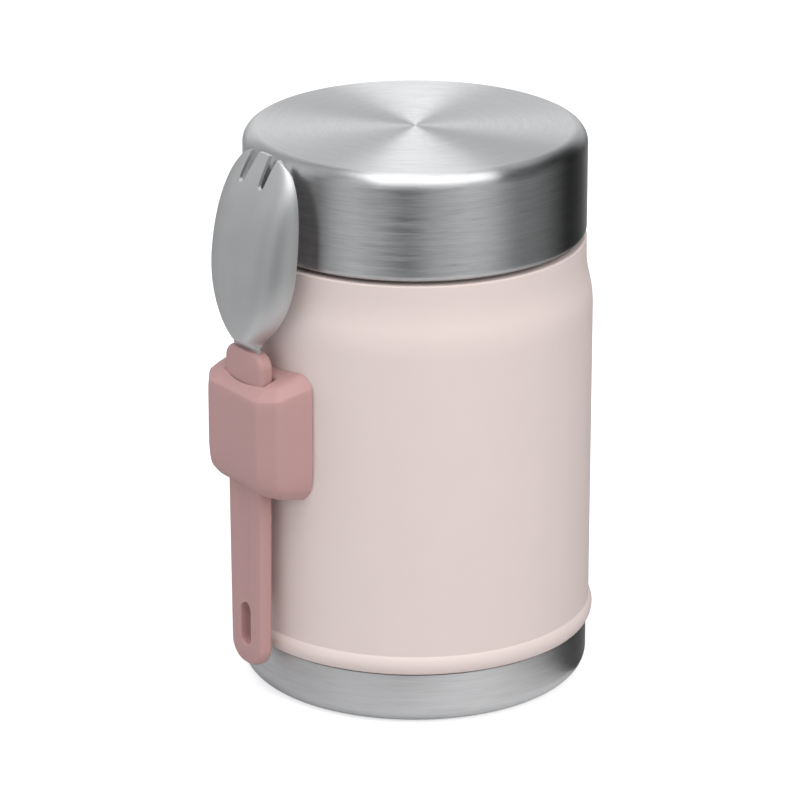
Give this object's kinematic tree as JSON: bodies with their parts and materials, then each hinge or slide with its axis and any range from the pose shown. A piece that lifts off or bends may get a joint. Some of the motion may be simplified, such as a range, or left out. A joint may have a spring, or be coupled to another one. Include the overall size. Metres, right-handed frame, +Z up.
{
  "type": "insulated food jar",
  "caption": "Double-walled steel food jar with a screw-on steel lid and a spork carried in a holder on its side.",
  "frame": {"origin": "centre of the base's resting plane, on the jar's axis", "axes": "+Z up along the jar's axis; the spork and its holder face -Y; +X is to the right when facing the holder from -Y"},
  "size_m": [0.0958, 0.1058, 0.1507],
  "materials": {
    "painted_shell": "matte powder coat, pale pink",
    "bare_steel": "bare stainless steel",
    "copper_foil": "bright foil",
    "getter": "sintered pellet",
    "seal_glass": "fused solder glass",
    "brushed_base": "brushed round the axis",
    "adhesive_pad": "foam tape",
    "rose_plastic": "matte moulded plastic, dusty rose",
    "silicone": "translucent white",
    "brushed_lid": "turned top, brushed side",
    "insert_plastic": "moulded, off-white",
    "foam": "expanded foam",
    "satin_steel": "satin stamped sheet"
  },
  "bodies": {
    "jar": {"outer_shell": "painted_shell", "neck_ring": "bare_steel", "inner_liner": "bare_steel", "liner_bottom": "bare_steel", "reflector_foil": "copper_foil", "getter_pellet": "getter", "getter_clip": "bare_steel", "vacuum_floor": "bare_steel", "vacuum_seal": "seal_glass", "base_cup": "brushed_base", "holder_pad": "adhesive_pad", "spork_holder": "rose_plastic"},
    "gasket": {"lid_gasket": "silicone"},
    "lid": {"lid_cap": "brushed_lid", "lid_insert": "insert_plastic", "lid_foam": "foam", "lid_plate": "insert_plastic"},
    "spork": {"spork_head": "satin_steel", "spork_handle": "rose_plastic"}
  },
  "joints": [
    {"name": "lid_lift", "type": "slide", "parent": "jar", "child": "gasket", "axis": [0, 0, 1], "range_m": [0, 0.0485]},
    {"name": "lid_turn", "type": "hinge", "parent": "gasket", "child": "lid", "pos_m": [0, 0, 0.122], "axis": [0, 0, 1], "range_deg": [0, 1440]},
    {"name": "spork_slide", "type": "slide", "parent": "jar", "child": "spork", "axis": [0, 0, 1], "range_m": [0, 0.09]}
  ],
  "couplings": [
    {"joint": "lid_lift", "follows": "lid_turn", "m_per_rad": 0.0019099}
  ]
}
